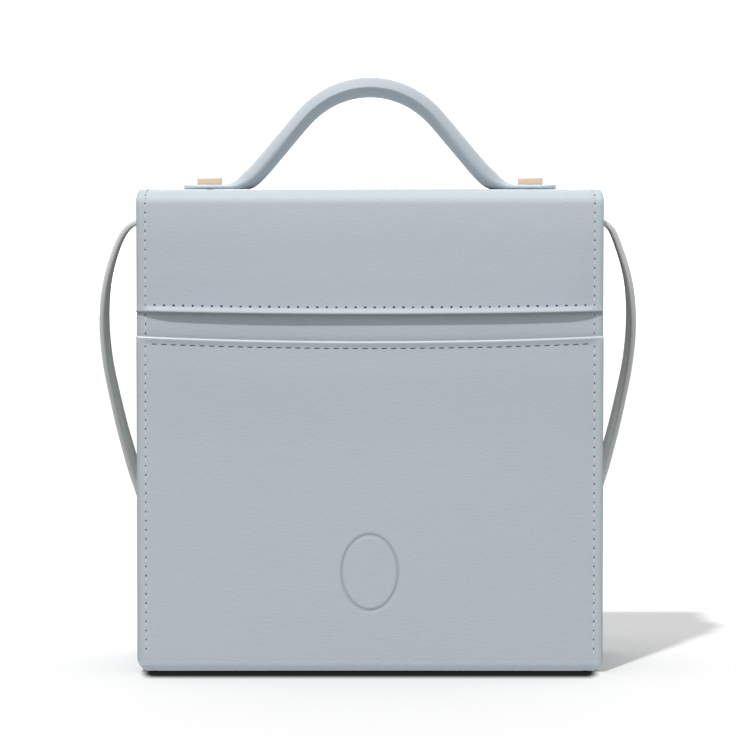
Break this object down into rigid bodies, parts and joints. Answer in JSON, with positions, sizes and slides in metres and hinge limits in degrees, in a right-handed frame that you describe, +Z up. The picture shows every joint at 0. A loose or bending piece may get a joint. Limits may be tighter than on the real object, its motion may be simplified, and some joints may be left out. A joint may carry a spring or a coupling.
{
  "type": "box bag",
  "caption": "Small upright leather box bag with a front flap, a slip pocket, an arched top handle on square studs and a long flat shoulder strap.",
  "frame": {"origin": "middle of the flat bottom of the bag, on the surface that it stands on", "axes": "+Z up, -Y towards the front with the flap, +X to the right seen from the front"},
  "size_m": [0.2264, 0.3539, 0.2444],
  "materials": {
    "bag_leather": "smooth pale blue-grey leather with a fine grain, satin",
    "strap_leather": "smooth grey leather with painted edges, satin",
    "stud_metal": "polished pale rose gold plate"
  },
  "bodies": {
    "root": {"body_wrap": "bag_leather", "inner_front_panel": "bag_leather", "gusset_left": "bag_leather", "gusset_right": "bag_leather", "flap": "bag_leather", "handle": "bag_leather", "handle_stud_left": "stud_metal", "handle_stud_right": "stud_metal", "strap": "strap_leather", "strap_rivet_left": "stud_metal", "strap_rivet_right": "stud_metal"}
  },
  "joints": []
}
